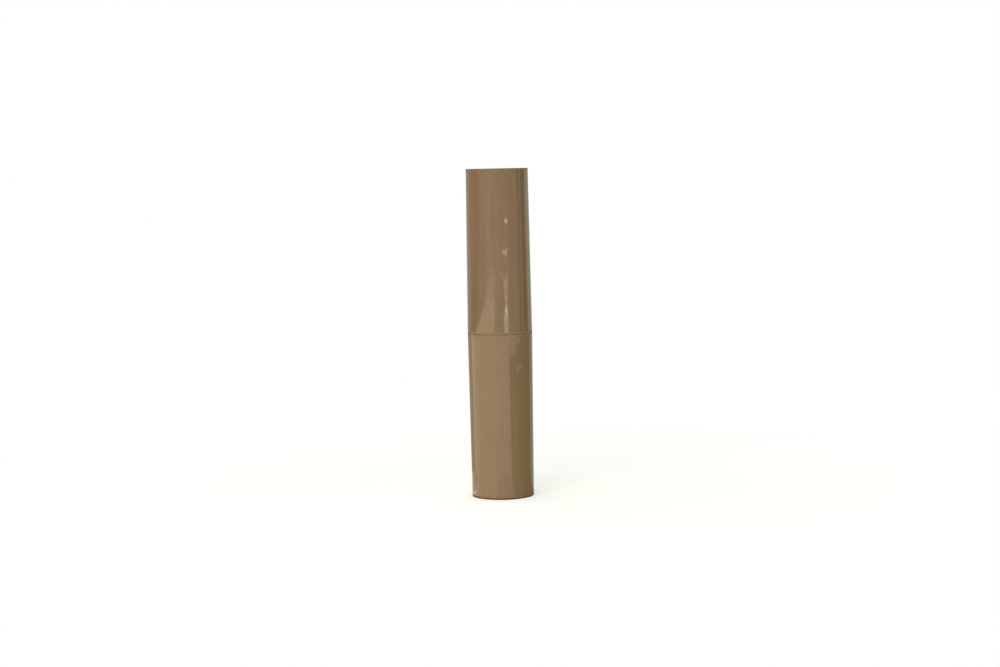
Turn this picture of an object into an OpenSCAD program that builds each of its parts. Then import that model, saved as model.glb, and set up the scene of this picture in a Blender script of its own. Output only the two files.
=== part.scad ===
// A slim twist-up lipstick: base shell, cap, and the swivel mechanism that raises the bullet,
// which is the cast stick of lip colour.
// Millimetres, +Z up, origin on the table at the centre of the base.

/* [Case] */
// Height of the base shell, from the table to the seam
base_h = 39.2; // [37:0.1:46]
// Height of the cap, from its mouth to its top
cap_h = 39.0; // [38.6:0.1:46]
// Gap between the cap's mouth and the base's rim
seam_gap = 0.1; // [0.05:0.01:0.3]
// How much each shell narrows, on the radius, from the seam to its far end
shell_draft = 0.32; // [0.1:0.02:0.36]
// Rounding of the cap's top edge and the base's bottom edge
end_round = 0.25; // [0.2:0.05:0.6]
// Rounding of the two edges that meet at the seam
seam_round = 0.15; // [0.05:0.01:0.25]

/* [Cap] */
// Thickness of the cap's end wall
cap_top_wall = 1.2; // [0.8:0.05:1.4]
// Thickness of the cap's side wall at its top
cap_side_wall = 0.85; // [0.7:0.05:1.1]
// Number of half-round ribs inside the cap that grip the collar
grip_ribs = 8; // [4:1:12]
// Diameter of each grip rib, which lies half in the wall
grip_rib_d = 0.8; // [0.5:0.1:1]
// Length of each grip rib
grip_rib_len = 12.0; // [8:0.5:13]
// Distance from the cap's mouth to the start of the grip ribs
grip_rib_start = 1.6; // [1.2:0.1:2]
// Length of the pointed lead-in at the start of each grip rib
grip_rib_lead = 0.8; // [0.4:0.1:1]
// How far the cap's straight bore runs on above the collar before it narrows
bore_run_on = 1.0; // [0.5:0.1:3]

/* [Base shell] */
// Wall of the base shell at its rim
base_wall = 1.0; // [0.9:0.05:1.3]
// Thickness of the base shell's floor
base_floor = 1.2; // [0.8:0.1:2]
// Depth of the shallow recess under the floor
recess_deep = 0.4; // [0.2:0.05:0.8]
// Width of the foot ring round the recess, the edge rounding left out
foot_ring_w = 1.13; // [0.6:0.05:1.6]
// Width of the ledge inside the base that the slotted tube stands on
ledge_w = 0.6; // [0.4:0.05:1]

/* [Collar] */
// How far the collar stands above the base's rim
collar_show = 14.8; // [14.2:0.1:16]
// Wall of the collar
collar_wall = 0.5; // [0.4:0.05:0.8]
// Thickness of the collar's inward lip at the top
lip_t = 0.6; // [0.4:0.05:1]
// Rounding of the collar's top edge outside
collar_round = 0.35; // [0.15:0.05:0.45]
// Rounding of the collar's lip inside
lip_round = 0.15; // [0.05:0.05:0.3]

/* [Spiral sleeve] */
// Wall of the spiral sleeve
spiral_wall = 0.58; // [0.45:0.01:0.8]
// Rise of the cup for each full turn of the spiral
pitch = 12.0; // [10:0.5:14]
// Level run at both ends of the spiral, where the lugs park, in degrees
park_angle = 14; // [12:1:30]
// Depth of the snap bead that holds the sleeve on the slotted tube
bead_deep = 0.25; // [0.15:0.05:0.35]
// Height of that snap bead
bead_h = 0.5; // [0.4:0.05:0.8]

/* [Slotted tube] */
// Wall of the slotted tube
tube_wall = 0.6; // [0.5:0.05:0.8]
// How far the tube's rim stands above the collar
tube_proud = 0.3; // [0.1:0.05:0.6]
// Height of the tube's foot, the part that is pressed into the base
foot_h = 8.0; // [5:0.5:9]
// Number of crush ribs round the foot
crush_ribs = 24; // [12:2:36]
// Height of each crush rib above the foot
crush_rib_deep = 0.25; // [0.15:0.05:0.4]
// Width of each crush rib
crush_rib_w = 0.5; // [0.3:0.05:0.8]
// Thickness of the webs and walls at the tube's foot
foot_wall = 0.9; // [0.7:0.05:1.2]
// Depth of the two chutes inside the rim, down which the lugs are pushed at assembly
chute_deep = 0.3; // [0.15:0.05:0.4]

/* [Friction ring] */
// Cord diameter of the rubber ring that brakes the twist
ring_cord = 0.71; // [0.6:0.01:0.9]

/* [Cup] */
// Full height of the cup with its skirt
cup_h = 12.0; // [10.5:0.5:13]
// Wall of the cup
cup_wall = 0.4; // [0.35:0.05:0.6]
// Height of the skirt under the cup's floor, which carries the lugs
skirt_h = 3.4; // [3:0.1:4]
// Thickness of the cup's floor
cup_floor = 0.8; // [0.5:0.1:1.2]
// Radius of each guide lug
lug_r = 0.8; // [0.6:0.05:0.9]
// Width of the springy arm that carries each lug
arm_w = 3.0; // [2.6:0.1:3.6]
// Width of the slits beside each arm
slit_w = 0.5; // [0.4:0.05:0.8]
// Diameter of the vent hole in the cup's floor
vent_d = 2.0; // [1:0.1:3]
// Number of ribs inside the cup that hold the bullet
hold_ribs = 4; // [3:1:8]
// Depth of each hold rib
hold_rib_deep = 0.3; // [0.2:0.05:0.5]
// Width of each hold rib
hold_rib_w = 0.6; // [0.4:0.05:1]
// Travel of the cup from fully down to fully up
rise = 21.0; // [17:0.5:22]
// How far the cup's rim stays under the tube's rim when it is fully up
cup_inset = 0.5; // [0.2:0.1:1.5]

/* [Bullet] */
// Diameter of the bullet
bullet_d = 8.68; // [8:0.02:9.4]
// Height of the dome over the tube's rim when it is fully down; the slant takes its top off
tip_proud = 0.3; // [-1:0.1:0.8]
// Angle between the slanted face and the stick's axis
slant_angle = 42; // [35:1:60]
// Height of the slanted face's low edge below the tip
slant_drop = 8.2; // [5:0.1:9]
// Radius of the dome that rounds the tip
tip_dome_r = 5.2; // [4.9:0.1:8]

/* [Fits] */
// Radial gap between the collar and the base's bore
collar_play = 0.1; // [0.06:0.01:0.2]
// Radial gap between the collar and the cap's bore at its mouth
cap_play = 0.12; // [0.08:0.01:0.2]
// Radial gap between the collar and the cap's grip ribs
grip_play = 0.03; // [0.02:0.01:0.05]
// Radial gap between the spiral sleeve and the slotted tube
spiral_play = 0.06; // [0.04:0.01:0.1]
// Radial gap between the cup and the slotted tube
cup_play = 0.08; // [0.05:0.01:0.12]
// Gap round a lug in the straight slots and in the spiral slots
lug_play = 0.1; // [0.06:0.01:0.14]
// Gap between two pieces that are pressed or cast together
press_gap = 0.02; // [0.01:0.005:0.03]
// Gap between faces that turn over each other end to end
end_play = 0.2; // [0.1:0.02:0.3]

/* [Hidden] */
$fn = 96;

// A cut runs past the face that it goes through by this much
over = 0.5;
// Points along a small rounded edge
round_steps = 6;

// Radii, from the bullet outwards
bullet_r = bullet_d / 2;
cup_in_r = bullet_r + press_gap;
cup_out_r = cup_in_r + cup_wall;
tube_in_r = cup_out_r + cup_play;
tube_out_r = tube_in_r + tube_wall;
spiral_in_r = tube_out_r + spiral_play;
spiral_out_r = spiral_in_r + spiral_wall;
collar_in_r = spiral_out_r + press_gap;
collar_out_r = collar_in_r + collar_wall;
base_bore_r = collar_out_r + collar_play;
seam_r = base_bore_r + base_wall;
end_r = seam_r - shell_draft;
cap_mouth_r = collar_out_r + cap_play;
cap_inner_end_r = min(end_r - cap_side_wall, cap_mouth_r - 0.05);
ledge_r = base_bore_r - ledge_w;
recess_r = end_r - end_round - foot_ring_w;
lug_end_r = collar_in_r - lug_play;

// Heights, from the seam upwards
cap_z = base_h + seam_gap;
cap_top_z = cap_z + cap_h;
collar_top_z = base_h + collar_show;
tube_top_z = collar_top_z + tube_proud;
spiral_top_z = collar_top_z - lip_t - press_gap;

// Heights, from the tube's rim down to its foot
cup_up_z = tube_top_z - cup_inset - cup_h;
cup_z = cup_up_z - rise;
lug_z = cup_z + lug_r + 0.3;
tube_floor_z = cup_z - end_play;
ring_gap = ring_cord + 2 * press_gap;
ring_groove_h = ring_cord + 4 * press_gap;
ring_z = tube_floor_z - foot_wall - ring_groove_h / 2;
bead_z = ring_z - ring_groove_h / 2 - foot_wall - bead_h;
spiral_z = bead_z - bead_h;
foot_top_z = spiral_z - end_play;
foot_z = foot_top_z - foot_h;
ring_floor_r = spiral_in_r - ring_gap;
core_r = ring_floor_r - foot_wall;

// Slots for the lugs
slot_half_w = lug_r + lug_play;
climb_angle = atan(pitch / (2 * PI * spiral_in_r));
spiral_half_h = slot_half_w / cos(climb_angle);
turn_angle = 360 * rise / pitch;
spiral_step = 14;

// Bottom of the bullet, and the top of its uncut dome
bullet_z = cup_z + skirt_h + cup_floor;
tip_z = tube_top_z + tip_proud;

// Colours
base_color = [0.60, 0.50, 0.385];
cap_color = [0.545, 0.45, 0.355];
collar_color = [0.52, 0.43, 0.335];
natural_color = [0.86, 0.84, 0.78];
rubber_color = [0.12, 0.12, 0.12];
bullet_color = [0.64, 0.38, 0.30];

// Points of a rounded corner about centre c, from angle a to angle b
function corner(c, r, a, b) =
    [for (i = [0 : round_steps])
        let (t = a + (b - a) * i / round_steps)
        [c[0] + r * cos(t), c[1] + r * sin(t)]];

// Radius of a drafted shell at height z above its narrow end
function shell_r(z, h) = end_r + shell_draft * z / h;

// Outline of a shell's outside, standing on its narrow end at z = 0 with its seam edge at z = h
function shell_outside(h) = concat(
    corner([shell_r(end_round, h) - end_round, end_round], end_round, -90, 0),
    corner([seam_r - seam_round, h - seam_round], seam_round, 0, 90));

// Straight slot outline along Y with round ends, from y0 to y1 at their centres
module slot_outline(half_w, y0, y1) {
    polygon(concat(
        [for (i = [0 : 2 * round_steps])
            let (t = 180 * i / (2 * round_steps)) [half_w * cos(t), y1 + half_w * sin(t)]],
        [for (i = [0 : 2 * round_steps])
            let (t = 180 + 180 * i / (2 * round_steps)) [half_w * cos(t), y0 + half_w * sin(t)]]));
}

// A ring of ribs that stand inwards from radius r_out to radius r_in, with their feet in the wall
module ribs_inward(count, w, r_in, r_out, z, h) {
    for (i = [0 : count - 1])
        rotate([0, 0, (i + 0.5) * 360 / count])
            translate([r_in, -w / 2, z])
                cube([r_out - r_in, w, h]);
}

module base_shell() {
    rim_in = base_bore_r + seam_round;
    color(base_color)
    rotate_extrude()
        polygon(concat(
            [[0, recess_deep], [recess_r, recess_deep], [recess_r, 0]],
            shell_outside(base_h),
            [[rim_in, base_h], [base_bore_r, base_h - seam_round],
             [base_bore_r, foot_z], [ledge_r, foot_z],
             [ledge_r, recess_deep + base_floor], [0, recess_deep + base_floor]]));
}

module cap() {
    mouth_in = cap_mouth_r + seam_round;
    bore_z = cap_h - collar_show - bore_run_on;
    rib_r = collar_out_r + grip_play + grip_rib_d / 2;
    color(cap_color)
    union() {
        // The shell is drawn standing on its narrow end and turned mouth down
        translate([0, 0, cap_top_z]) mirror([0, 0, 1])
            rotate_extrude()
                polygon(concat(
                    [[0, 0]],
                    shell_outside(cap_h),
                    [[mouth_in, cap_h], [cap_mouth_r, cap_h - seam_round], [cap_mouth_r, bore_z]],
                    corner([cap_inner_end_r - end_round, cap_top_wall + end_round],
                           end_round, 0, -90),
                    [[0, cap_top_wall]]));
        // Grip ribs, each with a pointed lead-in
        for (i = [0 : grip_ribs - 1])
            rotate([0, 0, (i + 0.5) * 360 / grip_ribs])
                translate([rib_r, 0, cap_z + grip_rib_start]) {
                    cylinder(d = grip_rib_d, h = grip_rib_len);
                    translate([0, 0, -grip_rib_lead])
                        cylinder(d1 = 0, d2 = grip_rib_d, h = grip_rib_lead);
                }
    }
}

module collar() {
    color(collar_color)
    rotate_extrude()
        polygon(concat(
            [[collar_in_r, spiral_z], [collar_out_r, spiral_z]],
            corner([collar_out_r - collar_round, collar_top_z - collar_round],
                   collar_round, 0, 90),
            corner([spiral_in_r + lip_round, collar_top_z - lip_round], lip_round, 90, 180),
            [[spiral_in_r, collar_top_z - lip_t], [collar_in_r, collar_top_z - lip_t]]));
}

// Height of the spiral slot's centre at angle t from the parked lug
function spiral_path_z(t) = lug_z + pitch * min(max(t, 0), turn_angle) / 360;

// Solid that cuts one spiral slot through the sleeve: a box section swept along the path
module spiral_cutter() {
    first = -park_angle;
    span = turn_angle + 2 * park_angle;
    n = ceil(span / spiral_step);
    r0 = spiral_in_r - over;
    r1 = spiral_out_r + over;
    points = [for (i = [0 : n])
        let (t = first + span * i / n, z = spiral_path_z(t))
        for (p = [[r0, -1], [r1, -1], [r1, 1], [r0, 1]])
            [p[0] * cos(t), p[0] * sin(t), z + p[1] * spiral_half_h]];
    sides = [for (i = [0 : n - 1]) for (j = [0 : 3])
        let (a = 4 * i + j, b = 4 * i + (j + 1) % 4)
        for (tri = [[a, b, b + 4], [a, b + 4, a + 4]]) tri];
    ends = [[2, 1, 0], [3, 2, 0], [4 * n, 4 * n + 1, 4 * n + 2], [4 * n, 4 * n + 2, 4 * n + 3]];
    polyhedron(points = points, faces = concat(sides, ends));
}

module spiral_sleeve() {
    color(natural_color)
    difference() {
        rotate_extrude()
            polygon([[spiral_in_r, bead_z + bead_h], [spiral_in_r - bead_deep, bead_z + bead_h / 2],
                     [spiral_in_r, bead_z], [spiral_in_r, spiral_z],
                     [spiral_out_r, spiral_z], [spiral_out_r, spiral_top_z],
                     [spiral_in_r, spiral_top_z]]);
        for (side = [0, 180]) rotate([0, 0, side]) spiral_cutter();
    }
}

module slotted_tube() {
    foot_r = base_bore_r - press_gap - crush_rib_deep;
    bead_room = bead_deep + spiral_play;
    color(cap_color)
    difference() {
        union() {
            rotate_extrude()
                polygon(concat(
                    // Foot, open below, with a web that carries the tube
                    [[foot_r - foot_wall, foot_z], [foot_r, foot_z], [foot_r, foot_top_z]],
                    // Snap groove and ring groove
                    [[tube_out_r, foot_top_z], [tube_out_r, bead_z - spiral_play],
                     [spiral_in_r - bead_room, bead_z + bead_h / 2 - spiral_play],
                     [spiral_in_r - bead_room, bead_z + bead_h / 2 + spiral_play],
                     [tube_out_r, bead_z + bead_h + spiral_play],
                     [tube_out_r, ring_z - ring_groove_h / 2],
                     [ring_floor_r, ring_z - ring_groove_h / 2],
                     [ring_floor_r, ring_z + ring_groove_h / 2],
                     [tube_out_r, ring_z + ring_groove_h / 2]],
                    // Rim, rounded inside and out
                    corner([tube_out_r - tube_wall / 4, tube_top_z - tube_wall / 4],
                           tube_wall / 4, 0, 90),
                    corner([tube_in_r + tube_wall / 4, tube_top_z - tube_wall / 4],
                           tube_wall / 4, 90, 180),
                    // Bore for the cup, its floor, and the hollow under the floor
                    [[tube_in_r, tube_floor_z], [0, tube_floor_z],
                     [0, tube_floor_z - foot_wall], [core_r, tube_floor_z - foot_wall],
                     [core_r, foot_top_z - foot_wall],
                     [foot_r - foot_wall, foot_top_z - foot_wall]]));
            for (i = [0 : crush_ribs - 1])
                rotate([0, 0, i * 360 / crush_ribs])
                    translate([foot_r - foot_wall / 2, -crush_rib_w / 2, foot_z])
                        cube([foot_wall / 2 + crush_rib_deep, crush_rib_w, foot_h - end_play]);
        }
        // Straight slots that guide the lugs
        rotate([90, 0, 90])
            linear_extrude(height = 2 * (tube_out_r + over), center = true)
                slot_outline(slot_half_w, lug_z, lug_z + rise);
        // Chutes from the rim down to the slots
        intersection() {
            translate([-tube_out_r, -slot_half_w, lug_z + rise])
                cube([2 * tube_out_r, 2 * slot_half_w, tube_top_z]);
            cylinder(r = tube_in_r + chute_deep, h = 2 * tube_top_z);
        }
    }
}

module friction_ring() {
    color(rubber_color)
    translate([0, 0, ring_z])
        rotate_extrude()
            translate([spiral_in_r - ring_gap / 2, 0]) circle(d = ring_cord);
}

module cup() {
    floor_z = cup_z + skirt_h;
    arm_half = arm_w / 2;
    lug_root_r = cup_in_r + cup_wall / 2;
    color(natural_color)
    difference() {
        union() {
            rotate_extrude()
                polygon(concat(
                    [[vent_d / 2, floor_z], [cup_in_r, floor_z], [cup_in_r, cup_z],
                     [cup_out_r, cup_z]],
                    corner([cup_in_r + cup_wall / 2, cup_z + cup_h - cup_wall / 2],
                           cup_wall / 2, 0, 180),
                    [[cup_in_r, floor_z + cup_floor], [vent_d / 2, floor_z + cup_floor]]));
            ribs_inward(hold_ribs, hold_rib_w, cup_in_r - hold_rib_deep,
                        cup_in_r + cup_wall / 2, floor_z + cup_floor - cup_floor / 2,
                        cup_h - skirt_h - cup_floor);
            // Guide lugs, rooted halfway through the wall
            for (side = [0, 180])
                rotate([0, 0, side]) translate([lug_root_r, 0, lug_z]) rotate([0, 90, 0])
                    cylinder(r = lug_r, h = lug_end_r - lug_root_r);
        }
        // Slits that free the springy arms
        for (side = [-1, 1])
            translate([-cup_out_r - over, side * (arm_half + slit_w / 2) - slit_w / 2, cup_z - over])
                cube([2 * (cup_out_r + over), slit_w, skirt_h + over]);
    }
}

module bullet() {
    // The bullet is cast round the cup's hold ribs, which leave grooves in it
    groove_w = hold_rib_w + 2 * press_gap;
    groove_r = cup_in_r - hold_rib_deep - press_gap;
    groove_top = cup_z + cup_h - cup_floor / 2 + press_gap;
    color(bullet_color)
    difference() {
        intersection() {
            translate([0, 0, bullet_z]) cylinder(r = bullet_r, h = tip_z - bullet_z);
            // Dome that rounds the tip
            translate([0, 0, tip_z - tip_dome_r]) union() {
                sphere(r = tip_dome_r);
                translate([0, 0, bullet_z - tip_z]) cylinder(r = tip_dome_r, h = tip_z - bullet_z);
            }
        }
        // Slanted face, lowest at the front
        translate([0, -bullet_r, tip_z - slant_drop])
            rotate([90 - slant_angle, 0, 0])
                translate([-bullet_d, -2 * bullet_d, 0])
                    cube([2 * bullet_d, 4 * bullet_d, 2 * bullet_d]);
        ribs_inward(hold_ribs, groove_w, groove_r, bullet_r + over, bullet_z - over,
                    groove_top - bullet_z + over);
    }
}

base_shell();
slotted_tube();
friction_ring();
collar();
spiral_sleeve();
cup();
bullet();
cap();
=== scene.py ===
# %% [markdown]
# # A slim twist-up lipstick
# The object is a round plastic stick, 78 mm tall. A cap slides over a collar, and the collar
# turns on a base shell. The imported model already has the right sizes, so the first step loads
# it as a frame that nothing here may move. Each new piece is then built in its place.

# %% Load the frame
import math

import bmesh
import bpy
from mathutils import Matrix, Vector


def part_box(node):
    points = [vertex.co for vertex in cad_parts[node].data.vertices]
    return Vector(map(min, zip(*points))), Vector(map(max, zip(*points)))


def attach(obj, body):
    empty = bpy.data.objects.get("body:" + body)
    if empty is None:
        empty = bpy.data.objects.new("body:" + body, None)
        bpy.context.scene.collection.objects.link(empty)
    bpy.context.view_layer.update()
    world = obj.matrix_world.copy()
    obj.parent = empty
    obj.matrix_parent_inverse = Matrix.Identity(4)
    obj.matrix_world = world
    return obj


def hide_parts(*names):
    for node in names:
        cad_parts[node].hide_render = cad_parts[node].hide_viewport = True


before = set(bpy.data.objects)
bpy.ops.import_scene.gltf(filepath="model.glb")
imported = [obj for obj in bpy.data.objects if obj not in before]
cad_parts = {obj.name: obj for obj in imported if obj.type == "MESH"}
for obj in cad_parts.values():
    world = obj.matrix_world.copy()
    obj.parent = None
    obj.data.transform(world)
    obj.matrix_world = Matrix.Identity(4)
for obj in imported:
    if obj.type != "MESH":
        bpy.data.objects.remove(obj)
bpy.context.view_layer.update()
print("nodes:", sorted(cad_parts))

# %% [markdown]
# ## Camera
# The stick was photographed from the height of its own top, with the lens tipped down at the
# stick's middle, so that the top edge looks straight and the foot looks curved. A long lens at
# half a metre gives the slight narrowing towards the foot. The camera was held a little
# askew, and turning it about its own line of sight is the simplest way to repeat that.

# %% Place the camera
CAMERA_DISTANCE = 0.478
CAMERA_HEIGHT = 0.0783
AIM_HEIGHT = 0.03898
LENS = 72.28
ROLL = math.radians(-1.17)

camera_data = bpy.data.cameras.new("camera")
camera_data.lens = LENS
camera_data.sensor_width = 36.0
camera_data.clip_start = 0.01
camera = bpy.data.objects.new("camera", camera_data)
bpy.context.scene.collection.objects.link(camera)
eye = Vector((0, -CAMERA_DISTANCE, CAMERA_HEIGHT))
look = Vector((0, 0, AIM_HEIGHT)) - eye
facing = look.to_track_quat("-Z", "Y").to_matrix().to_4x4()
camera.matrix_world = Matrix.Translation(eye) @ facing @ Matrix.Rotation(ROLL, 4, "Z")
bpy.context.scene.camera = camera
print("camera tips down by", round(math.degrees(math.asin(-look.normalized().z)), 2), "degrees")

# %% [markdown]
# ## Values and nodes
# A finish is sums and products of patterns. Writing them as sums and products in Python keeps
# them readable, so a small class wraps a node's socket and turns + - * into Math nodes. Any
# other node comes from one method that takes its type, its settings and its sockets.


# %% A value that can be reckoned with
class Value:
    """A socket of a finish. Sums and products of it add Math nodes."""

    def __init__(self, finish, socket):
        self.finish = finish
        self.socket = socket

    def maths(self, operation, first, second):
        return self.finish.node("ShaderNodeMath", {"operation": operation}, {0: first, 1: second})

    def __add__(self, other):
        return self.maths("ADD", self, other)

    def __sub__(self, other):
        return self.maths("SUBTRACT", self, other)

    def __mul__(self, other):
        return self.maths("MULTIPLY", self, other)

    def __rsub__(self, other):
        return self.maths("SUBTRACT", other, self)

    def unsigned(self):
        """The value without its sign."""
        return self.finish.node("ShaderNodeMath", {"operation": "ABSOLUTE"}, {0: self})

    __radd__ = __add__
    __rmul__ = __mul__

    def band(self, low, high):
        """0 at low, 1 at high, and a smooth run between."""
        settings = {"interpolation_type": "SMOOTHSTEP"}
        sockets = {"Value": self, "From Min": low, "From Max": high}
        return self.finish.node("ShaderNodeMapRange", settings, sockets)

    def hump(self, low, high, soft):
        """1 from low to high, with a smooth run of width soft on both sides."""
        return self.band(low - soft, low) * (1 - self.band(high, high + soft))


# %% A finish and its nodes
class Finish:
    """A material with one shader, or the sky, and the method that adds every other node."""

    def __init__(self, name, owner=None):
        self.material = owner or bpy.data.materials.new(name)
        self.material.use_nodes = True
        self.tree = self.material.node_tree
        self.shader = self.tree.nodes["Background" if owner else "Principled BSDF"]

    def node(self, kind, settings, sockets, out=0):
        made = self.tree.nodes.new(kind)
        for key, value in settings.items():
            setattr(made, key, value)
        self.feed(made, sockets)
        return Value(self, made.outputs[out])

    def feed(self, made, sockets):
        for key, value in sockets.items():
            if isinstance(value, Value):
                self.tree.links.new(value.socket, made.inputs[key])
            else:
                made.inputs[key].default_value = value

    def place(self):
        return self.node("ShaderNodeTexCoord", {}, {}, "Object")

    def stretched(self, place, scale, turn=0.0):
        """Turns a place about Y, then scales it, so that a pattern lies slanted."""
        sockets = {"Vector": place, "Rotation": (0, turn, 0), "Scale": tuple(1 / s for s in scale)}
        return self.node("ShaderNodeMapping", {"vector_type": "TEXTURE"}, sockets)

    def steepness(self, steep=0.3, flat=0.9):
        """1 on an upright wall and 0 on a flat end."""
        normal = self.node("ShaderNodeNewGeometry", {}, {}, "Normal")
        rise = self.node("ShaderNodeSeparateXYZ", {}, {"Vector": normal}, "Z")
        return 1 - rise.unsigned().band(steep, flat)

    def clouds(self, place, size, detail=2.0, rough=0.5):
        """Noise from 0 to 1 whose blobs are about size metres across."""
        sockets = {"Vector": place, "Scale": 1 / size, "Detail": detail, "Roughness": rough}
        return self.node("ShaderNodeTexNoise", {}, sockets)

    def specks(self, place, gap, size):
        """1 inside round specks of radius size that lie about gap metres apart."""
        sockets = {"Vector": place, "Scale": 1 / gap, "Randomness": 1.0}
        far = self.node("ShaderNodeTexVoronoi", {}, sockets, "Distance")
        return 1 - far.band(0.6 * size / gap, size / gap)

    def blend(self, share, first, second):
        """A colour between first and second."""
        settings = {"data_type": "RGBA"}
        return self.node("ShaderNodeMix", settings, {0: share, 6: first, 7: second}, 2)

    def relief(self, height, depth):
        """A bump whose full height is depth metres."""
        return self.node("ShaderNodeBump", {}, {"Height": height, "Distance": depth})


print("node helpers are ready")

# %% [markdown]
# ## Light
# The stick stands in even daylight that comes a little more from the left. A soft sky gives
# about half of the light, warm at the left and a little green at the right, and one wide lamp
# at the left of the camera rounds the stick, so a colour renders about as it is written. The
# lamp doesn't reach the back, where the sky is a little brighter instead.
# Glossy plastic also mirrors what stands round it: a pale backdrop behind, which brightens
# both rims, a dimmer room on the camera's side, and the folds of a curtain at the right.

# %% Hang the sky
SKY_LEVEL, BACK_FILL = 0.56, 0.30
WARM_SIDE, COOL_SIDE = (1.0, 0.93, 0.86, 1), (0.91, 1.0, 0.86, 1)
ROOM_LEVEL, FRONT_LEVEL, BACKDROP_LEVEL = 0.22, 0.66, 0.52
FOLDS = [(44, 52, -0.16), (58, 66, 0.14), (70, 74, 0.30), (80, 86, -0.10), (90, 93, 0.34),
         (100, 118, -0.22), (124, 130, 0.25)]

world = bpy.data.worlds.new("sky")
bpy.context.scene.world = world
sky = Finish("sky", world)
heading = sky.node("ShaderNodeTexCoord", {}, {}, "Generated")
across = sky.node("ShaderNodeSeparateXYZ", {}, {"Vector": heading}, "X")
ahead = sky.node("ShaderNodeSeparateXYZ", {}, {"Vector": heading}, "Y")
camera_ray = sky.node("ShaderNodeLightPath", {}, {}, "Is Camera Ray")
glossy_ray = sky.node("ShaderNodeLightPath", {}, {}, "Is Glossy Ray")
front = (-1 * ahead).band(0.1, 0.65)
angle = sky.node("ShaderNodeMath", {"operation": "ARCTAN2"}, {0: across, 1: -1 * ahead})
bearing = math.degrees(1) * angle
curtain = 0
for left, right, level in FOLDS:
    curtain = curtain + level * bearing.hump(left, right, 4)
mirrored = ROOM_LEVEL + (FRONT_LEVEL - ROOM_LEVEL) * front + curtain
mirrored = mirrored + (BACKDROP_LEVEL - ROOM_LEVEL) * ahead.band(0.1, 0.75)
even = SKY_LEVEL + BACK_FILL * ahead.band(0.35, 0.95)
strength = even + glossy_ray * (mirrored - even)
strength = strength + camera_ray * (1 - strength)
tint = sky.blend(across.band(-0.8, 0.8), WARM_SIDE, COOL_SIDE)
tint = sky.blend(camera_ray, tint, (1, 1, 1, 1))
sky.feed(sky.shader, {"Color": tint, "Strength": strength})
print("sky level", SKY_LEVEL, "- mirrored room", ROOM_LEVEL, "- mirrored backdrop", BACKDROP_LEVEL)


# %% Hang the lamp
def around(azimuth, distance, height):
    """A point seen from the stick. Azimuth 0 is in front, and positive to the right."""
    turn = math.radians(azimuth)
    return Vector((distance * math.sin(turn), -distance * math.cos(turn), height))


LAMP_WIDTH, LAMP_HEIGHT = 0.55, 0.7
LAMP_AZIMUTH, LAMP_DISTANCE, LAMP_RISE = -25, 0.8, 0.28
LAMP_POWER, LAMP_TINT = 3.3, (1.0, 0.975, 0.94)

lamp_data = bpy.data.lights.new("window", "AREA")
lamp_data.shape = "RECTANGLE"
lamp_data.size, lamp_data.size_y = LAMP_WIDTH, LAMP_HEIGHT
lamp_data.energy = LAMP_POWER
lamp_data.color = LAMP_TINT
lamp = bpy.data.objects.new("window", lamp_data)
bpy.context.scene.collection.objects.link(lamp)
lamp_place = around(LAMP_AZIMUTH, LAMP_DISTANCE, LAMP_RISE)
aim = Vector((0, 0, AIM_HEIGHT)) - lamp_place
towards = aim.to_track_quat("-Z", "Y").to_matrix().to_4x4()
lamp.matrix_world = Matrix.Translation(lamp_place) @ towards
lamp.visible_camera = False
lamp.visible_glossy = False
print("lamp gives", lamp_data.energy, "W from", tuple(round(c, 2) for c in lamp_place))

# %% [markdown]
# ## Cards for the reflections
# What makes the plastic look glossy is what it mirrors. The stick is a convex mirror, which
# squeezes a thing at azimuth a to the line where the wall faces about a / 2, but upright it is
# a flat mirror, which blurs whatever is far off. So the small bright cards stand close to the
# stick. A sunlit sheet at the left warms the base and shows on the cap as a slanted wedge, and
# a window at the right gives a streak and glints. Only mirrored rays see the cards, and most
# of them have a reach, so that the far side of the stick doesn't smear them on its rims.


# %% Set up the cards
MM = 0.001
CUT = 5
REACH_END = 1.03


def card(name, corners, strength, colour, reach=None):
    """A bright card bent round the stick. Its corners are (azimuth, distance, height)."""
    bm = bmesh.new()
    bmesh.ops.contextual_create(bm, geom=[bm.verts.new(corner) for corner in corners])
    for cut in range(-180, 180, CUT):
        everything = bm.verts[:] + bm.edges[:] + bm.faces[:]
        bmesh.ops.bisect_plane(
            bm, geom=everything, dist=0.001, plane_co=(cut, 0, 0), plane_no=(1, 0, 0))
    for point in bm.verts:
        azimuth, distance, height = point.co
        point.co = around(azimuth, distance * MM, height * MM)
    mesh = bpy.data.meshes.new(name)
    bm.to_mesh(mesh)
    bm.free()
    made = bpy.data.objects.new(name, mesh)
    bpy.context.scene.collection.objects.link(made)
    glow = Finish(name)
    if reach:
        length = glow.node("ShaderNodeLightPath", {}, {}, "Ray Length")
        strength = strength * (1 - length.band(reach, REACH_END * reach))
    light = glow.node("ShaderNodeEmission", {}, {"Color": colour, "Strength": strength})
    glow.feed(glow.tree.nodes["Material Output"], {"Surface": light})
    mesh.materials.append(glow.material)
    made.visible_camera = made.visible_diffuse = made.visible_shadow = False
    made.visible_transmission = made.visible_volume_scatter = False


NEAR, TABLE_EDGE, TABLE_TOP = 40, 8, 0.4
CARD_REACH = 0.0345
TABLE_LIGHT, FRONT_LIGHT = (1.0, 0.85, 0.64, 1), (1, 0.94, 0.86, 1)
BACK_LIGHT, WINDOW_LIGHT, WARM_LIGHT = (0.9, 1, 0.85, 1), (1, 0.93, 0.96, 1), (1, 0.92, 0.8, 1)
SEAM_EDGE = 36.6

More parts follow.
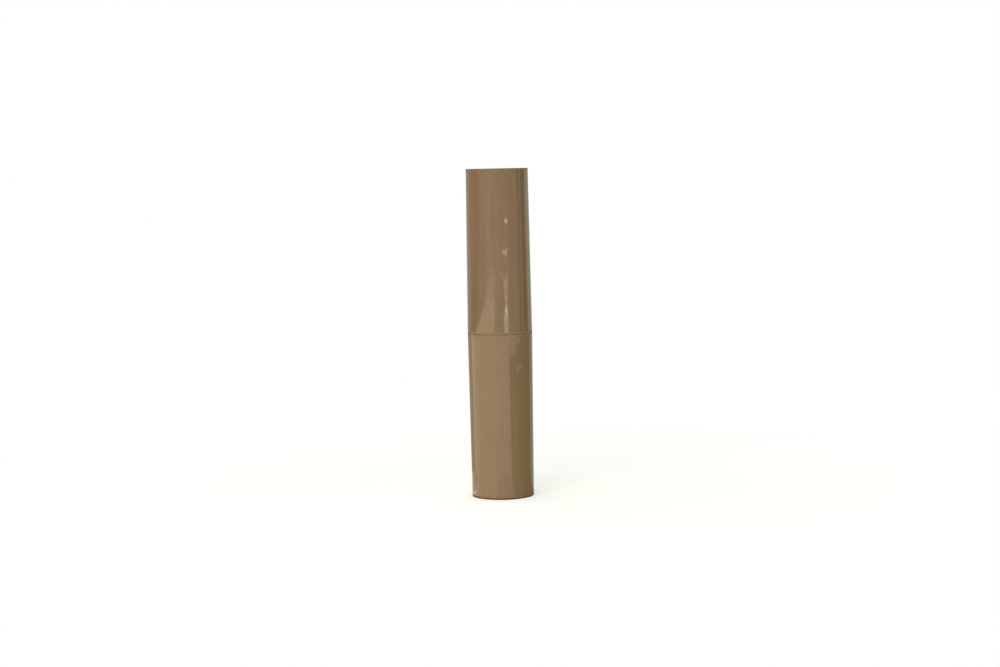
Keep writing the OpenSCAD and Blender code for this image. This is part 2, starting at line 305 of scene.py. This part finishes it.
UPRIGHT = [("left_back", -178, -115, 0.45, TABLE_LIGHT, None),
           ("left", -115, -15, 1.5, TABLE_LIGHT, 0.0360),
           ("front", -15, 30, 1.2, FRONT_LIGHT, 0.0345),
           ("right_back", 115, 170, 0.45, BACK_LIGHT, None)]
for side, start, end, strength, colour, reach in UPRIGHT:
    foot = [(start, NEAR, 0), (end, NEAR, 0)]
    top = [(end, NEAR, SEAM_EDGE), (start, NEAR, SEAM_EDGE)]
    card("upright_" + side, foot + top, strength, colour, reach)
LYING = [("left_back", -178, -100, 0.8, TABLE_LIGHT), ("left", -100, -15, 1.5, TABLE_LIGHT),
         ("front", -15, 30, 0.8, FRONT_LIGHT), ("right_back", 115, 170, 0.45, BACK_LIGHT)]
for side, start, end, strength, colour in LYING:
    outside = [(start, NEAR, TABLE_TOP), (end, NEAR, TABLE_TOP)]
    inside = [(end, TABLE_EDGE, TABLE_TOP), (start, TABLE_EDGE, TABLE_TOP)]
    card("lying_" + side, outside + inside, strength, colour)

# %% [markdown]
# The wedge and the glints are drawn from their places in the photograph: each point's height
# gives the height on the card, and its distance from the middle of the stick gives the azimuth.
# Three dim smudges break up the plain wall under the seam at the right, as they do there.

# %% Cut the wedge and the window
def flat(name, outline, strength, colour):
    """A card at the usual distance. The outline is a list of (azimuth, height)."""
    card(name, [(a, NEAR, h) for a, h in outline], strength, colour, CARD_REACH)


flat("wedge_low", [(-17.6, SEAM_EDGE), (-13, 46.3), (-46, 46.1), (-51, 44.2), (-60, 42.6),
                   (-71, 40.2), (-83, 38.3), (-93, SEAM_EDGE)], 2.0, TABLE_LIGHT)
flat("wedge_high", [(-13, 46.3), (-11, 52.7), (-20.8, 53.4), (-38, 50.3), (-46, 46.1)],
     1.5, TABLE_LIGHT)
STREAK = [(13, 28, 36.6, 37.4, 2.8), (14, 27, 37.4, 38.3, 3.2), (14, 28, 38.3, 40.5, 2.5),
          (14, 28, 40.5, 42.4, 3.3), (18, 26, 42.4, 44.0, 7.0), (20, 26, 44.0, 45.2, 2.6),
          (17, 26, 45.2, 46.4, 1.6), (16, 27, 46.4, 47.1, 3.2), (17, 26, 47.1, 48.9, 1.7),
          (15, 28, 48.9, 49.6, 3.6), (17, 26, 49.6, 50.2, 1.7), (16, 27, 50.2, 50.9, 3.6)]
for left, right, low, high, strength in STREAK:
    flat("streak_" + str(low), [(left, low), (right, low), (right, high), (left, high)],
         strength, WARM_LIGHT if low > 42 else WINDOW_LIGHT)
flat("glint_slant", [(1.5, 52.8), (5, 52.8), (20, 50.4), (15, 50.4)], 2.6, WARM_LIGHT)
flat("glint_cross", [(24, 52.2), (30, 52.4), (23, 51.0), (18, 51.0)], 2.2, WARM_LIGHT)
flat("glint_wedge", [(8, 58.2), (31, 58.6), (26, 56.7)], 4.0, WARM_LIGHT)
flat("glint_high", [(21, 66.2), (33, 66.0), (31, 65.1), (24, 65.3)], 7.0, WARM_LIGHT)
SMUDGES = [([(30, 35.6), (58, 35.9), (52, 31.5), (40, 30.5), (32, 32)], 1.0),
           ([(58, 35.6), (70, 35.2), (66, 33.6), (60, 34.0)], 1.3),
           ([(50, 27.6), (76, 28.6), (80, 27.8), (54, 26.2)], 0.8)]
for number, (outline, strength) in enumerate(SMUDGES):
    flat("smudge_" + str(number), outline, strength, FRONT_LIGHT)
print("the cards stand", NEAR, "mm off, or lie on the table")

# %% [markdown]
# ## Floor
# The photograph has a plain white ground. The floor is a white disc that takes the stick's
# soft shadow. What the camera sees of it is lifted to the backdrop's white, and further out
# it fades into it, so that no edge shows. Mirrored rays see a brown table in its place. The
# disc is open under the stick and clear from below, so that the foot can be looked at too.

# %% Lay the floor
FLOOR_RADIUS, HOLE_RADIUS = 0.47, 0.0072
FLOOR_LIFT = 0.40
FADE_FROM, FADE_TO = 0.03, 0.16

floor_mesh = bpy.data.meshes.new("floor")
bm = bmesh.new()
bmesh.ops.create_circle(bm, radius=FLOOR_RADIUS, segments=96)
bmesh.ops.create_circle(bm, radius=HOLE_RADIUS, segments=96)
bmesh.ops.bridge_loops(bm, edges=bm.edges[:])
bm.normal_update()
bmesh.ops.reverse_faces(bm, faces=[f for f in bm.faces if f.normal.z < 0])
bm.to_mesh(floor_mesh)
bm.free()
floor = bpy.data.objects.new("floor", floor_mesh)
bpy.context.scene.collection.objects.link(floor)
paper = Finish("floor_paper")
far = paper.node("ShaderNodeVectorMath", {"operation": "LENGTH"}, {0: paper.place()}, "Value")
camera_ray = paper.node("ShaderNodeLightPath", {}, {}, "Is Camera Ray")
lift = paper.blend(camera_ray, (0, 0, 0, 1), (FLOOR_LIFT, FLOOR_LIFT, FLOOR_LIFT, 1))
glossy_ray = paper.node("ShaderNodeLightPath", {}, {}, "Is Glossy Ray")
tone = paper.blend(glossy_ray, (0.93, 0.93, 0.925, 1), (0.24, 0.21, 0.17, 1))
paper.feed(paper.shader, {"Base Color": tone, "Roughness": 0.9})
paper.feed(paper.shader, {"Emission Color": lift, "Emission Strength": 1.0})
glow = paper.node("ShaderNodeEmission", {}, {"Strength": 1.0})
lit = Value(paper, paper.shader.outputs[0])
sockets = {0: far.band(FADE_FROM, FADE_TO) * camera_ray, 1: lit, 2: glow}
ground = paper.node("ShaderNodeMixShader", {}, sockets)
from_below = paper.node("ShaderNodeNewGeometry", {}, {}, "Backfacing") * camera_ray
clear = paper.node("ShaderNodeBsdfTransparent", {}, {})
ground = paper.node("ShaderNodeMixShader", {}, {0: from_below, 1: ground, 2: clear})
paper.feed(paper.tree.nodes["Material Output"], {"Surface": ground})
floor_mesh.materials.append(paper.material)
print("floor is", 2 * FLOOR_RADIUS, "m across")

# %% [markdown]
# ## Moulded plastic of the case
# Cap, base and collar are moulded in one taupe plastic, from polished steel moulds that leave
# a satin gloss. Up close the pigment lies in faint clouds, the melt leaves fine flow lines
# along the stick, and handling adds hairlines, dust specks, rubbed edges and a scuff or two.
# A dark line round the foot is painted shade, standing in for the contact shadow on the floor.
# One finish with these patterns serves all three and the slotted tube, and its colour, edge
# heights and places of scuffs are set for each piece.

# %% Finish of the case
HAIRS = [(0.30, 0.0011), (-0.55, 0.0013), (0.95, 0.0012)]
HAIR_WIDTH, DUST_SIZE, PIT_SIZE = 0.00004, 0.00009, 0.00007
# The first colour is the near-black of a painted shade: the contact shadow round the foot.
FOOT_SHADE, DUST_TONE = (0.03, 0.025, 0.015, 1), (0.62, 0.56, 0.48, 1)
RELIEF_DEPTH = 0.000004


def case_plastic(name, colour, edges, gloss=0.14, scuffs=()):
    """Taupe plastic. edges are the heights in metres at which hands rub the piece."""
    finish = Finish(name)
    place = finish.place()
    height = finish.node("ShaderNodeSeparateXYZ", {}, {"Vector": place}, "Z")
    along = finish.stretched(place, (1, 1, 0.03))
    clouds = finish.clouds(place, 0.011, 3)
    wall = finish.steepness()
    flow = 0.5 + wall * (finish.clouds(along, 0.0011, 3, 0.6) - 0.5)
    fine = 0.5 + wall * (finish.clouds(along, 0.00035, 2) - 0.5)
    hairs = 0
    for turn, gap in HAIRS:
        slanted = finish.stretched(place, (1, 1, 0.03), turn)
        hairs = hairs + finish.specks(slanted, gap, HAIR_WIDTH)
    dust = finish.specks(place, 0.0042, DUST_SIZE)
    pits = finish.specks(finish.stretched(place, (1.1, 0.9, 1.2)), 0.0027, PIT_SIZE)
    rim = 0
    for edge in edges:
        rim = rim + (1 - (height - edge).unsigned().band(0.00015, 0.0007))
    rubbed = wall * rim * finish.clouds(place, 0.0016, 3).band(0.42, 0.62)
    shade = 0.5 + 0.6 * (clouds - 0.5) + 1.0 * (flow - 0.5) + 0.6 * (fine - 0.5)
    scuffed = 0
    for spot in scuffs:
        ends = {0: place, 1: spot}
        off = finish.node("ShaderNodeVectorMath", {"operation": "DISTANCE"}, ends, "Value")
        scuffed = scuffed + (1 - off.band(0.0005, 0.0017))
    scuffed = scuffed * finish.clouds(place, 0.00022, 3, 0.7).band(0.46, 0.74)
    # Painted shade: the lowest half millimetre of wall and foot rounding darkens like contact
    # shadow.
    foot_shade = (1 - height.band(0.00020, 0.00042)) * finish.steepness(0.93, 0.995)
    deep = tuple(0.88 * c for c in colour) + (1,)
    pale = tuple(1.12 * c for c in colour) + (1,)
    tone = finish.blend(shade, deep, pale)
    worn = tuple(min(1, 1.25 * c + 0.02) for c in colour) + (1,)
    tone = finish.blend(0.5 * rubbed + 0.25 * hairs + 0.6 * scuffed, tone, worn)
    # Here the painted contact shade darkens the edge of the foot.
    tone = finish.blend(0.85 * foot_shade, tone, FOOT_SHADE)
    tone = finish.blend(0.6 * dust, tone, DUST_TONE)
    tone = finish.blend(0.4 * pits, tone, tuple(0.55 * c for c in colour) + (1,))
    rough = gloss + 0.10 * (flow - 0.5) + 0.10 * (clouds - 0.5) + 0.18 * hairs + 0.25 * rim
    rough = rough + 0.2 * scuffed
    peel = finish.clouds(place, 0.0007, 2)
    sag = finish.clouds(finish.stretched(place, (1, 1, 0.35)), 0.006, 1)
    relief = 0.35 * peel + 2.2 * sag + 0.5 * fine - 0.6 * hairs + 0.8 * dust - 0.8 * pits
    bump = finish.relief(relief, RELIEF_DEPTH)
    sockets = {"Base Color": tone, "Roughness": rough, "Normal": bump}
    sockets |= {"Coat Weight": 0.55 - 0.4 * rim, "Coat Roughness": 0.015}
    sockets |= {"IOR": 1.49, "Specular IOR Level": 0.35}
    finish.feed(finish.shader, sockets)
    return finish.material


# %% [markdown]
# ## Turning a piece on the lathe
# Every piece here is round, so each is drawn as the outline of half its section and spun
# round the axis. The outline is a short list of corners, and each corner that the mould rounds
# is bevelled before the spin. A long straight wall needs extra rings near its ends, or smooth
# shading would bend its reflections.

# %% A lathe
SIDES = 144
ROUND_STEPS = 7
RING_GAP, GUARD = 0.0016, 0.00012


def lengthen(bm):
    """Puts a guard ring at both ends of each wall of an outline, and even rings between."""
    for edge in [e for e in bm.edges if e.calc_length() > 5 * GUARD]:
        share = GUARD / edge.calc_length()
        for place_on_edge in (share, 1 - share):
            split, _ = bmesh.utils.edge_split(edge, edge.verts[0], place_on_edge)
            edge = max((edge, split), key=lambda e: e.calc_length())
        cuts = int(edge.calc_length() / RING_GAP)
        if cuts > 2:
            bmesh.ops.subdivide_edges(bm, edges=[edge], cuts=cuts)


def turned(corners, sides=SIDES):
    """Spins an outline of (radius, height, rounding) in millimetres into a closed bmesh."""
    bm = bmesh.new()
    points = [bm.verts.new((r * MM, 0, z * MM)) for r, z, _ in corners]
    for pair in zip(points, points[1:]):
        bm.edges.new(pair)
    if corners[0][0] > 0 or corners[-1][0] > 0:
        bm.edges.new((points[-1], points[0]))
    for point, (_, _, rounding) in zip(points, corners):
        if rounding:
            bmesh.ops.bevel(
                bm, geom=[point], offset=rounding * MM, offset_type="OFFSET",
                segments=ROUND_STEPS, profile=0.5, affect="VERTICES", material=-1)
    lengthen(bm)
    everything = bm.verts[:] + bm.edges[:]
    bmesh.ops.spin(
        bm, geom=everything, cent=(0, 0, 0), axis=(0, 0, 1), dvec=(0, 0, 0),
        angle=math.tau, steps=sides, use_merge=True, use_duplicate=False)
    bmesh.ops.remove_doubles(bm, verts=bm.verts[:], dist=1e-7)
    bmesh.ops.recalc_face_normals(bm, faces=bm.faces[:])
    return bm


# %% Finish a piece
CREASE = math.radians(32)


def piece(name, bm, body, node, material):
    """Makes an object of a bmesh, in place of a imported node, riding on its body."""
    mesh = bpy.data.meshes.new(name)
    bm.to_mesh(mesh)
    open_edges = sum(1 for e in bm.edges if not e.is_manifold)
    bm.free()
    mesh.materials.append(material)
    mesh.shade_smooth()
    mesh.set_sharp_from_angle(angle=CREASE)
    made = bpy.data.objects.new(name, mesh)
    bpy.context.scene.collection.objects.link(made)
    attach(made, body)
    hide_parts(node)
    low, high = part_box(node)
    corners = [v.co for v in mesh.vertices]
    new_low = [min(c[i] for c in corners) for i in range(3)]
    new_high = [max(c[i] for c in corners) for i in range(3)]
    off = max(abs(a - b) for a, b in zip([*low, *high], new_low + new_high))
    print(name, len(mesh.polygons), "faces, open edges", open_edges,
          "- off the packed box by", round(1000 * off, 3), "mm")


# %% [markdown]
# ## Base shell
# The base is a plain drafted cup, a touch wider at the seam than at the foot, with a small
# rounding where it stands and a tighter one where it meets the cap. Under the foot is a
# shallow recess, so that the stick stands on a ring. Inside, the bore holds the foot of the
# slotted tube on a ledge.

# %% Turn the base shell
SEAM_RADIUS, END_RADIUS = 7.70, 7.38
END_ROUND, SEAM_ROUND = 0.25, 0.05
SEAM_CLOSE = 0.03
BASE_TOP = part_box("base_shell")[1].z
BASE_RIM = round(BASE_TOP / MM, 3) + SEAM_CLOSE
RECESS_RADIUS, RECESS_DEPTH, BASE_FLOOR = 6.0, 0.4, 1.6
BORE_RADIUS, LEDGE_RADIUS, LEDGE_HEIGHT = 6.70, 6.10, 8.41
BASE_TAUPE, BASE_SCUFFS = (0.258, 0.162, 0.080), [(0.0068, -0.0031, 0.0139)]

base_outline = [
    (0, RECESS_DEPTH, 0), (RECESS_RADIUS, RECESS_DEPTH, 0.12), (RECESS_RADIUS, 0, 0.06),
    (END_RADIUS, 0, END_ROUND), (SEAM_RADIUS, BASE_RIM, SEAM_ROUND),
    (BORE_RADIUS, BASE_RIM, SEAM_ROUND), (BORE_RADIUS, LEDGE_HEIGHT, 0),
    (LEDGE_RADIUS, LEDGE_HEIGHT, 0), (LEDGE_RADIUS, BASE_FLOOR, 0), (0, BASE_FLOOR, 0)]
base_plastic = case_plastic("base_plastic", BASE_TAUPE, [BASE_TOP], scuffs=BASE_SCUFFS)
piece("base_shell_dressed", turned(base_outline), "base", "base_shell",
      base_plastic)

# %% [markdown]
# ## Cap
# The cap is the same cup turned over, with a flat end and a nearly sharp edge round it. It is
# straight inside over the collar and narrows above it. Eight low ribs grip the collar, and
# since each is a ridge in the wall, the wall's own points are drawn inwards to make it.


# %% Raise ribs in a wall
def ribs(bm, wall_radius, count, depth, from_height, to_height, half_width):
    """Draws the points of a round wall inwards at each rib, between two heights."""
    moved = 0
    for point in bm.verts:
        radius = math.hypot(point.co.x, point.co.y)
        inside = from_height * MM < point.co.z < to_height * MM
        if not inside or abs(radius - wall_radius * MM) > 0.00002:
            continue
        turn = math.degrees(math.atan2(point.co.y, point.co.x)) * count / 360 - 0.5
        off = abs(turn - round(turn)) * math.tau / count * radius
        if off < half_width * MM:
            share = (radius - depth * MM) / radius
            point.co.x *= share
            point.co.y *= share
            moved += 1
    print(count, "ribs drawn in with", moved, "points")


# %% Turn the cap
cap_low, cap_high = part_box("cap")
MOUTH, CAP_TOP = round(cap_low.z / MM, 3), round(cap_high.z / MM, 3)
CAP_BORE, CAP_BORE_TOP = 6.72, MOUTH + 15.8
CEILING_RADIUS, CAP_CEILING = 6.55, CAP_TOP - 1.2
RIB_COUNT, RIB_DEPTH, RIB_HALF_WIDTH = 8, 0.09, 0.2
RIB_FOOT, RIB_TOP = MOUTH + 1.2, MOUTH + 13.6
CAP_TAUPE = (0.245, 0.150, 0.078)
CAP_SCUFFS = [(0.0072, -0.0022, 0.0590), (0.0062, -0.0039, 0.0745)]

cap_outline = [
    (0, CAP_TOP, 0), (END_RADIUS, CAP_TOP, END_ROUND),
    (SEAM_RADIUS, MOUTH - SEAM_CLOSE, SEAM_ROUND), (CAP_BORE, MOUTH - SEAM_CLOSE, SEAM_ROUND),
    (CAP_BORE, CAP_BORE_TOP, 0), (CEILING_RADIUS, CAP_CEILING, END_ROUND), (0, CAP_CEILING, 0)]
cap_mesh = turned(cap_outline)
ribs(cap_mesh, CAP_BORE, RIB_COUNT, RIB_DEPTH, RIB_FOOT, RIB_TOP, RIB_HALF_WIDTH)
cap_plastic = case_plastic("cap_plastic", CAP_TAUPE, [cap_low.z, cap_high.z],
                           scuffs=CAP_SCUFFS)
piece("cap_dressed", cap_mesh, "cap", "cap", cap_plastic)

# %% [markdown]
# ## Collar
# The collar is a thin bright tube that stays on the stick when the cap comes off. Its top
# edge is rounded and turns in as a lip that hides the spiral sleeve.

# %% Turn the collar
collar_low, collar_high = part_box("collar")
COLLAR_LOW, COLLAR_TOP = round(collar_low.z / MM, 3), round(collar_high.z / MM, 3)
COLLAR_BORE, COLLAR_RADIUS = 6.10, 6.60
LIP_RADIUS, LIP_FOOT = 5.50, COLLAR_TOP - 0.6
INNER_TAUPE, COLLAR_GLOSS, TUBE_GLOSS = (0.225, 0.138, 0.072), 0.11, 0.2

collar_outline = [
    (COLLAR_BORE, COLLAR_LOW, 0), (COLLAR_RADIUS, COLLAR_LOW, 0.08),
    (COLLAR_RADIUS, COLLAR_TOP, 0.35), (LIP_RADIUS, COLLAR_TOP, 0.15),
    (LIP_RADIUS, LIP_FOOT, 0), (COLLAR_BORE, LIP_FOOT, 0)]
collar_plastic = case_plastic("collar_plastic", INNER_TAUPE, [collar_high.z], COLLAR_GLOSS)
piece("collar_dressed", turned(collar_outline), "collar", "collar",
      collar_plastic)

# %% [markdown]
# ## Bullet
# The wax stick is poured into a mould with a domed end and a slanted face. A boolean cut
# through a turned dome would leave slivers along its rim, so a close-ringed stick is turned
# first, and its top is then pressed down to the lower of dome and slant. Wax never holds a
# knife edge, so the two meet softly, and the rim is rounded over.

# %% Turn and press the bullet
BULLET_LOW = round(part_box("bullet")[0].z / MM, 3)
BULLET_RADIUS, DOME_RADIUS, DOME_TOP = 4.34, 5.2, 54.6
SLANT_LOW, SLANT_SLOPE = 46.4, 1 / math.tan(math.radians(42))
MELD, RIM_ROUND = 0.24, 0.28
BULLET_SIDES, RIM_STEPS, TOP_STEPS = 240, 6, 48
WALL_TOP, STILL_HEIGHT = 50.0, 0.3


def bullet_top(x, y):
    """How high the wax stands over a point, in millimetres."""
    radius = min(math.hypot(x, y), BULLET_RADIUS)
    dome = DOME_TOP - DOME_RADIUS + math.sqrt(DOME_RADIUS ** 2 - radius ** 2)
    slant = SLANT_LOW + SLANT_SLOPE * (y + BULLET_RADIUS)
    lower = (dome + slant - math.sqrt((dome - slant) ** 2 + MELD ** 2)) / 2
    over_rim = max(0.0, radius - BULLET_RADIUS + RIM_ROUND)
    return lower - RIM_ROUND + math.sqrt(RIM_ROUND ** 2 - over_rim ** 2)


flat_radius = BULLET_RADIUS - RIM_ROUND
radii = [flat_radius + RIM_ROUND * math.cos(step / RIM_STEPS * math.pi / 2)
         for step in range(RIM_STEPS)]
radii += [flat_radius * (1 - step / TOP_STEPS) for step in range(TOP_STEPS + 1)]
bullet_outline = [(0, BULLET_LOW, 0), (BULLET_RADIUS, BULLET_LOW, 0.12)]
bullet_outline += [(r, WALL_TOP, 0) for r in radii]
bullet_mesh = turned(bullet_outline, BULLET_SIDES)
still_top = BULLET_LOW + STILL_HEIGHT
for point in bullet_mesh.verts:
    x, y, z = (c / MM for c in point.co)
    share = max(0.0, (z - still_top) / (WALL_TOP - still_top))
    point.co.z += share * (bullet_top(x, y) - WALL_TOP) * MM
print("bullet stands up to", round(max(v.co.z for v in bullet_mesh.verts) / MM, 2), "mm")

# %% [markdown]
# ## Wax
# Lipstick wax is soft and a little see-through, so its colour glows from within and its gloss
# is silky. Mould release leaves faint drag lines down its sides, and pearl pigment gives it
# fine warm specks.


# %% Finish of the wax
def wax(name):
    finish = Finish(name)
    place = finish.place()
    clouds = finish.clouds(place, 0.0045, 3)
    drag = finish.clouds(finish.stretched(place, (1, 1, 0.04)), 0.0005, 3)
    drag = 0.5 + finish.steepness() * (drag - 0.5)
    pearl = finish.specks(place, 0.0006, 0.00011)
    sweat = finish.clouds(place, 0.0003, 2)
    tone = finish.blend(0.3 + 0.5 * clouds + 0.3 * (drag - 0.5),
                        (0.36, 0.135, 0.088, 1), (0.45, 0.185, 0.125, 1))
    tone = finish.blend(0.3 * pearl, tone, (0.66, 0.36, 0.27, 1))
    rough = 0.27 + 0.14 * (clouds - 0.5) + 0.16 * (drag - 0.5) + 0.08 * (sweat - 0.5)
    bump = finish.relief(0.8 * drag + 0.35 * sweat, 0.000008)
    sockets = {"Base Color": tone, "Roughness": rough, "Normal": bump}
    sockets |= {"Subsurface Weight": 0.35, "Subsurface Scale": 0.0012,
                "Subsurface Radius": (1.0, 0.45, 0.3)}
    finish.feed(finish.shader, sockets)
    return finish.material


piece("bullet_dressed", bullet_mesh, "carrier", "bullet", wax("bullet_wax"))

# %% [markdown]
# ## Parts of the drive
# The slotted tube, the spiral sleeve, the cup and the friction ring have exact shapes in the
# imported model, so they stay as they are and only get their finishes. The tube's rim shows at
# the collar's mouth, so it is moulded in the case's taupe. Sleeve and cup are natural plastic
# with the milky look of unpigmented mouldings, and the ring is black rubber with a dull grain.


# %% Finishes of the drive
def natural_plastic(name, pale, deep, gloss):
    """Milky plastic with soft flow clouds, and a fine grain where the steel was matt."""
    finish = Finish(name)
    place = finish.place()
    clouds = finish.clouds(place, 0.008, 3)
    flow = finish.clouds(finish.stretched(place, (1, 1, 0.08)), 0.001, 2)
    grain = finish.clouds(place, 0.00022, 2)
    specks = finish.specks(place, 0.004, 0.0001)
    tone = finish.blend(0.2 + 0.6 * clouds + 0.3 * (flow - 0.5), deep, pale)
    tone = finish.blend(0.3 * specks, tone, (0.4, 0.34, 0.27, 1))
    rough = gloss + 0.16 * (clouds - 0.5) + 0.12 * (flow - 0.5)
    bump = finish.relief(0.6 * grain + 0.4 * flow, 0.000006)
    sockets = {"Base Color": tone, "Roughness": rough, "Normal": bump}
    sockets |= {"Subsurface Weight": 0.2, "Subsurface Scale": 0.0008}
    finish.feed(finish.shader, sockets)
    return finish.material


def rubber(name):
    finish = Finish(name)
    place = finish.place()
    clouds = finish.clouds(place, 0.002, 3)
    grain = finish.clouds(place, 0.00012, 2)
    tone = finish.blend(clouds, (0.018, 0.018, 0.019, 1), (0.04, 0.039, 0.037, 1))
    bump = finish.relief(grain, 0.00001)
    sockets = {"Base Color": tone, "Roughness": 0.5 + 0.2 * clouds, "Normal": bump}
    finish.feed(finish.shader, sockets)
    return finish.material


finishes = {
    "slotted_tube": case_plastic("tube_plastic", INNER_TAUPE,
                                 [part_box("slotted_tube")[1].z], TUBE_GLOSS),
    "spiral_sleeve": natural_plastic("sleeve_plastic", (0.78, 0.76, 0.72, 1),
                                     (0.66, 0.64, 0.60, 1), 0.48),
    "cup": natural_plastic("cup_plastic", (0.82, 0.80, 0.75, 1),
                           (0.72, 0.69, 0.63, 1), 0.42),
    "friction_ring": rubber("ring_rubber"),
}
for node, material in finishes.items():
    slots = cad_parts[node].data.materials
    if not slots:
        slots.append(material)
    for index in range(len(slots)):
        slots[index] = material
    print(node, "is finished as", material.name)

# %% [markdown]
# ## Colour
# The picture is shown as it is lit, with no film look.

# %% Show the picture as it is lit
bpy.context.scene.view_settings.view_transform = "Standard"
bpy.context.view_layer.update()
